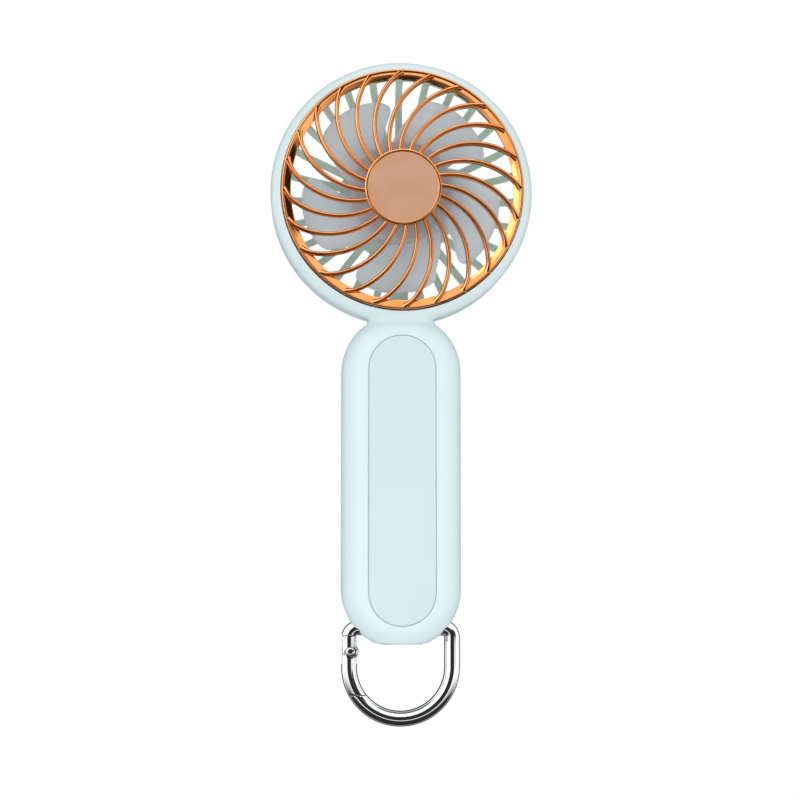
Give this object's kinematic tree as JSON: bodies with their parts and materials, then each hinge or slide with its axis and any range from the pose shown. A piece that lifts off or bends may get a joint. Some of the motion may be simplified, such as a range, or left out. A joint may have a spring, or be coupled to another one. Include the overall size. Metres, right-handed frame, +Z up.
{
  "type": "handheld electric fan",
  "caption": "Pocket fan with a round caged head, swirled front grille, flat pill-shaped handle and a sprung D-ring carabiner through its base.",
  "frame": {"origin": "middle of the flat base pad's lower face, at the foot of the handle", "axes": "+Z up along the handle to the fan head, -Y out of the front grille, +X to the right as seen from the front"},
  "size_m": [0.0836, 0.0288, 0.2114],
  "materials": {
    "mint_casing": "pale mint ABS, fine satin mould texture",
    "mint_panel": "pale mint soft-touch plate, smooth satin",
    "base_silicone": "light grey silicone",
    "screw_steel": "plain zinc-plated steel",
    "copper_chrome": "rose-copper vacuum-plated plastic, mirror bright",
    "copper_satin": "rose-copper satin face with a bright edge",
    "impeller_grey": "light grey translucent-looking plastic",
    "motor_steel": "drawn steel",
    "winding_copper": "enamelled copper",
    "magnet_black": "ferrite",
    "black_plastic": "black moulded plastic",
    "bush_bronze": "sintered bronze",
    "lead_red": "red wire insulation",
    "lead_black": "black wire insulation",
    "cell_foil": "grey laminated foil pouch",
    "foam_black": "black foam",
    "board_green": "green solder mask",
    "capacitor_tan": "ceramic",
    "light_white": "white light emitting diode",
    "window_clear": "frosted clear light guide",
    "carabiner_chrome": "polished nickel-chrome plate"
  },
  "bodies": {
    "casing": {"front_shell": "mint_casing", "rear_shell": "mint_casing", "front_panel": "mint_panel", "base_pad": "base_silicone", "casing_screws": "screw_steel", "front_grille": "copper_chrome", "grille_badge": "copper_satin", "rear_grille": "mint_casing", "motor_cover": "mint_casing", "motor_can": "motor_steel", "motor_magnets": "magnet_black", "motor_end_cap": "black_plastic", "motor_bushes": "bush_bronze", "motor_brushes": "winding_copper", "motor_leads": "lead_red", "battery_cell": "cell_foil", "battery_leads": "lead_black", "battery_pad": "foam_black", "circuit_board": "board_green", "control_chip": "black_plastic", "boost_inductor": "magnet_black", "board_capacitors": "capacitor_tan", "usb_c_socket": "screw_steel", "push_switch": "black_plastic", "status_lights": "light_white", "light_window": "window_clear"},
    "impeller": {"impeller": "impeller_grey", "motor_shaft": "screw_steel", "armature_core": "motor_steel", "armature_windings": "winding_copper", "commutator": "winding_copper"},
    "power_button": {"power_button": "mint_casing"},
    "carabiner": {"carabiner_frame": "carabiner_chrome", "gate_pin": "carabiner_chrome"},
    "gate": {"carabiner_gate": "carabiner_chrome", "gate_plunger": "screw_steel", "gate_spring": "screw_steel"}
  },
  "joints": [
    {"name": "impeller_spin", "type": "hinge", "parent": "casing", "child": "impeller", "pos_m": [0, 0, 0.1434], "axis": [0, 1, 0], "continuous": true},
    {"name": "power_button_press", "type": "slide", "parent": "casing", "child": "power_button", "axis": [0, -1, 0], "range_m": [0, 0.0005], "stiffness_N_per_m": 400, "springref_m": -0.0005},
    {"name": "carabiner_swing", "type": "hinge", "parent": "casing", "child": "carabiner", "pos_m": [0, 0, 0.0048], "axis": [1, 0, 0], "range_deg": [-60, 60]},
    {"name": "gate_swing", "type": "hinge", "parent": "carabiner", "child": "gate", "pos_m": [-0.016, 0, -0.0025], "axis": [0, -1, 0], "range_deg": [0, 35], "stiffness_Nm_per_rad": 0.01, "springref_deg": -20.05}
  ]
}
